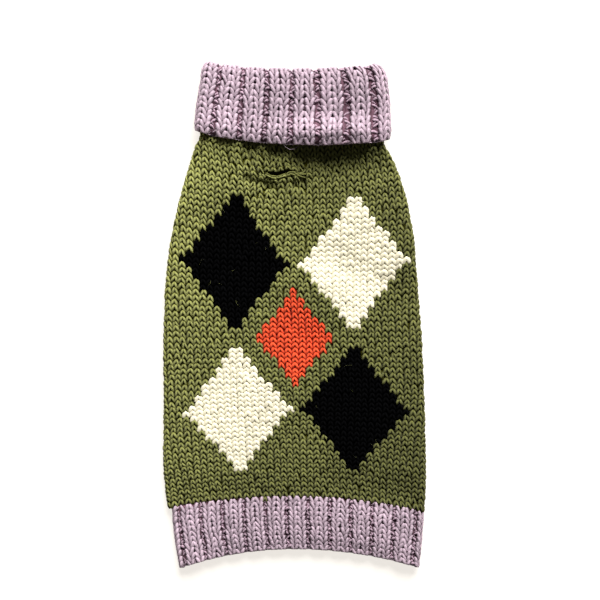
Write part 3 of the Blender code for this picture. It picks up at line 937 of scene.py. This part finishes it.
def on_lower_lip(wales, rows, out):
    """Stitches under the slit end at its lower lip."""
    return on_body(wales, np.minimum(rows, SLIT_ROW - 0.03), out)


def drawn_stitches(stitch, wale, row, drawn):
    """The uneven stitches beside, below and above the slit."""
    near_slit, below = np.abs(wale - SLIT_MID) < STOP_REACH, row < SLIT_ROW
    lower, upper = near_slit & below, near_slit & ~below
    batches = []
    for part, place in ((~near_slit, on_body), (lower, on_lower_lip), (upper, on_upper_lip)):
        near = drawn & part
        batches.append(lay_stitches(place, stitch, wale[near], row[near], seed=5, loose=2.6, shown=LIT))
    return batches


def slit_edges():
    """The bound-off edge along the slit's lower lip, and the loose yarn end at its right."""
    wales = np.arange(SLIT_FIRST + 0.8, SLIT_LAST + 0.7, 0.7)
    rows = np.full(len(wales), SLIT_ROW - 0.5)
    link = chain_link(4.0, ROW, 1.9, spread=0.3)
    end = [(0.4, -0.3, 0.6), (0.9, -0.3, 1.2), (1.3, -0.05, 1.3), (1.6, 0.35, 1.1), (1.5, 0.7, 0.4)]
    end = [(wale, SLIT_ROW + row, out) for wale, row, out in end]
    return [
        lay_stitches(on_lower_lip, link, wales, rows, seed=8, loose=3.0, lift=0.3),
        lay_strand(on_body, end, 1.2, tint=1.5),
    ]


def make_back_cloth():
    """From seam to seam round the top, in the rows of the stitches and, on the top, in their wales. It starts
    a little lower, behind the hem's seam. The slit is cut where two rows part, and closed beyond its ends."""
    whole, folded = 20, 13
    columns = np.arange(-whole - folded, whole + folded + 1)
    cut = 1e-3
    rows = [-0.3, *range(1, SLIT_ROW), SLIT_ROW - cut, SLIT_ROW + cut, *range(SLIT_ROW + 1, BODY_ROWS + 1)]
    rows = np.array(rows)

    def wales_of(c, r):
        column, end = columns[c], seam_wale(rows[r])
        far = np.abs(column)
        beyond = np.maximum(far - whole, 0) / folded
        reach = np.minimum(far, whole) + (end - whole) * beyond
        return np.sign(column) * reach - WALE_SHIFT / WALE * beyond + 0.5 * (1 - beyond)

    def place(c, r):
        return on_body(wales_of(c, r), rows[r], UNDER, lie_flat=0.0, tuck=0.0)

    def yarn_of(row, column):
        return yarn_at(columns[column] + 1.0, math.floor(rows[row] + cut / 2))

    materials = (OLIVE_UNDER, BLACK_UNDER, CREAM_UNDER, ORANGE_UNDER, OLIVE_PURL)
    return cloth("back_cloth", columns, rows, place, WALL + UNDER, materials, yarn_of, hole=SLIT_ROW)


# ---- The belly ----


BELLY_WALES = 12  # on each side of its middle


def make_belly():
    wale, row = grid_of(-BELLY_WALES, BELLY_WALES, BODY_ROWS)
    level = body_level(row + 0.5)
    keep = np.abs(wale) * wale_width(level) < seam_reach(level) - leg_gap(level) - 0.45 * wale_width(level)
    batch = lay_stitches(on_belly, plain_arch(), wale[keep], row[keep], seed=91)
    return yarn_piece("belly_stitches", [batch], OLIVE)


def make_belly_cloth():
    rows, columns = np.arange(BODY_ROWS + 1), np.arange(-BELLY_WALES, BELLY_WALES + 1)

    def place(c, r):
        level = body_level(rows[r])
        reach = (seam_reach(level) - leg_gap(level)) / wale_width(level)
        return on_belly(-columns[c] / BELLY_WALES * reach, rows[r], UNDER, lie_flat=0.0)

    return cloth("belly_cloth", columns, rows, place, WALL + UNDER, (OLIVE_UNDER, OLIVE_PURL))


# ---- The hem and the collar ----

HEM_HIGH, COLLAR_HIGH = 3.73, 4.88  # height of a rib stitch
ROUND = 0.99999  # how far round a tube's cloth goes before its two edges are joined
RIBBED = (LILAC_UNDER, LILAC_PURL)


def ribbing(place, stitches, half, rows, seed, low_shown, lifts, edge_at):
    """The knit, purl and bound-off stitches of a ribbed tube, half of its wales to each side. low_shown sets
    the painted shade on the low side of its knit stitches, and lifts are for the other two kinds."""
    knit, bump, link = stitches
    wale, row = grid_of(-half + 1, half, rows)
    purl = np.mod(wale, RIB) == 0
    edge, edge_row = grid_of(-half + 1, half, 1)
    # Purl bumps keep more painted shade: from the painted shading colour at their lowest point they go only
    # 0.6 of the way to the wool's own colour at their top.
    purls = {"seed": seed + 1, "loose": 2.6, "shown": (0.0, 0.6), "slant": 0.5}
    return [
        lay_stitches(place, knit, wale[~purl], row[~purl], seed=seed, shown=(low_shown, 1.0)),
        lay_stitches(place, bump, wale[purl], row[purl], lift=lifts[0], **purls),
        lay_stitches(place, link, edge, edge_row + edge_at, seed=seed + 2, lift=lifts[1]),
    ]


def make_hem():
    knit = knit_stitch(6.3, HEM_HIGH, HEM_YARN, foot=0.11, top=0.425, low=-0.56, high=1.0, relief=0.7)
    stitches = (knit, purl_bumps(4.6, HEM_HIGH, 2.6), chain_link(5.6, HEM_HIGH, 1.7))
    half = RIB * HEM_RIBS
    batches = ribbing(on_hem, stitches, half, HEM_ROWS, 101, 0.45, (-0.3, -1.5), 0.12)
    batches += hairs(on_hem, (-half, half), (0, HEM_ROWS), 160, seed=104)
    return yarn_piece("hem_ribs", batches, LILAC)


def make_hem_cloth():
    columns, rows = np.linspace(-2.0, 2.0, 145), np.linspace(0.2, HEM_ROWS, 12)

    def place(c, r):
        level = hem_level(rows[r])
        across = columns[c] * top_girth(HEM, level) * ROUND
        return on_tube(HEM, level, across, HEM_UNDER, dip=hem_dip(rows[r]))

    wales = columns * (RIB * HEM_RIBS / 2)
    return cloth("hem_cloth", wales, rows, place, RIB_WALL + HEM_UNDER, RIBBED, tube=True)


def make_collar():
    """The ribs go on over the fold. One loose fibre hangs out under the flap in a bow."""
    knit = knit_stitch(7.3, COLLAR_HIGH, COLLAR_YARN, foot=0.10, top=0.405, low=-0.5, high=1.02, relief=0.75)
    stitches = (knit, purl_bumps(5.6, COLLAR_HIGH, 2.8), chain_link(6.6, COLLAR_HIGH, 1.9, spread=0.14))
    half = RIB * COLLAR_RIBS
    batches = ribbing(on_collar, stitches, half, FLAP_ROWS + STAND_ROWS, 111, 0.35, (-0.55, -2.0), 0.06)
    batches += hairs(on_collar, (-half, half), (0, FLAP_ROWS + 1), 240, seed=114)
    batches += hairs(on_collar, (-12, 12), (-0.3, 0.8), 40, seed=115)
    bow = [(-1.43 + 0.25 * k, 69.9 - 0.8 * math.sin(0.1 * math.pi * k), 7.5) for k in range(11)]
    batches.append(lay_strand(on_body, bow, 0.3))
    return yarn_piece("collar_ribs", batches, LILAC)


def make_collar_cloth():
    """The collar's wall from the flap's free edge, over the fold, to the seam at the neck."""
    columns = np.linspace(-2.0, 2.0, 121)
    fold_end = FLAP_RUN + FOLD_RUN
    flap, fold = np.linspace(0.6, FLAP_RUN, 12), np.linspace(FLAP_RUN, fold_end, 9)
    runs = np.concatenate((flap, fold[1:], np.linspace(fold_end, COLLAR_RUN, 10)[1:]))

    def place(c, r):
        return on_collar_run(runs[r], columns[c] * ROUND, COLLAR_UNDER, lie_flat=0.0, tuck=0.6)

    wales, rows = columns * (RIB * COLLAR_RIBS / 2), runs / COLLAR_ROW
    return cloth("collar_cloth", wales, rows, place, RIB_WALL + COLLAR_UNDER, RIBBED, tube=True)


# ---- Floor, light and camera ----


def make_floor():
    """Pale paper with some light of its own, which keeps shadows soft."""
    bm = bmesh.new()
    bmesh.ops.create_grid(bm, x_segments=1, y_segments=1, size=12.0)
    mesh = bpy.data.meshes.new("floor")
    bm.to_mesh(mesh)
    bm.free()
    paper, _, _, shader = new_material("white paper")
    fill_in(shader, {"Base Color": (0.34, 0.335, 0.325, 1.0), "Roughness": 0.9, "Specular IOR Level": 0.1})
    fill_in(shader, {"Emission Color": (1.0, 0.955, 0.89, 1.0), "Emission Strength": 0.80})
    mesh.materials.append(paper)
    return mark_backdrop(new_object("floor", mesh))


def make_light():
    """A large window beyond the collar, with little light from elsewhere."""
    world = bpy.data.worlds.new("soft studio")
    world.use_nodes = True
    fill_in(world.node_tree.nodes["Background"], {"Color": (1.0, 0.99, 0.97, 1.0), "Strength": 0.06})
    bpy.context.scene.world = world
    lamp = bpy.data.lights.new("window", "SUN")
    lamp.energy = 8.4
    lamp.angle = math.radians(46.0)
    lamp.color = (1.0, 0.985, 0.96)
    towards = Vector((0.22, 1.0, 0.62)).normalized()
    new_object("window", lamp).rotation_euler = towards.to_track_quat("Z", "Y").to_euler()


def make_camera():
    """Straight above, and framed at the height of the garment's top."""
    sensor, distance, top_height, across = 36.0, 1.6, 0.009, 0.468
    middle_x, middle_y = 4.68, 11.7
    lens = bpy.data.cameras.new("overhead")
    lens.sensor_width = sensor
    lens.lens = sensor * (distance - top_height) / across
    lens.clip_end = 20.0
    camera = new_object("overhead", lens)
    camera.location = ((middle_x - CENTRE_X) * MM, (middle_y - CENTRE_Y) * MM, distance)
    bpy.context.scene.camera = camera


bpy.context.scene.view_settings.view_transform = "Standard"
back_stitches = make_back()
back_cloth = make_back_cloth()
belly_stitches = make_belly()
belly_cloth = make_belly_cloth()
hem_ribs, hem_cloth = make_hem(), make_hem_cloth()
collar_ribs, collar_cloth = make_collar(), make_collar_cloth()

GROUPS = (
    (back_cloth, back_stitches, "back_panel", "olive_wool"),
    (belly_cloth, [belly_stitches], "belly_panel", "olive_wool"),
    (hem_cloth, [hem_ribs], "hem", "lilac_wool"),
    (collar_cloth, [collar_ribs], "collar", "lilac_wool"),
)
for sheet, stitches, node, slot in GROUPS:
    for piece in (sheet, *stitches):
        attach(piece, "root")
        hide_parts(node)

make_floor()
make_light()
make_camera()
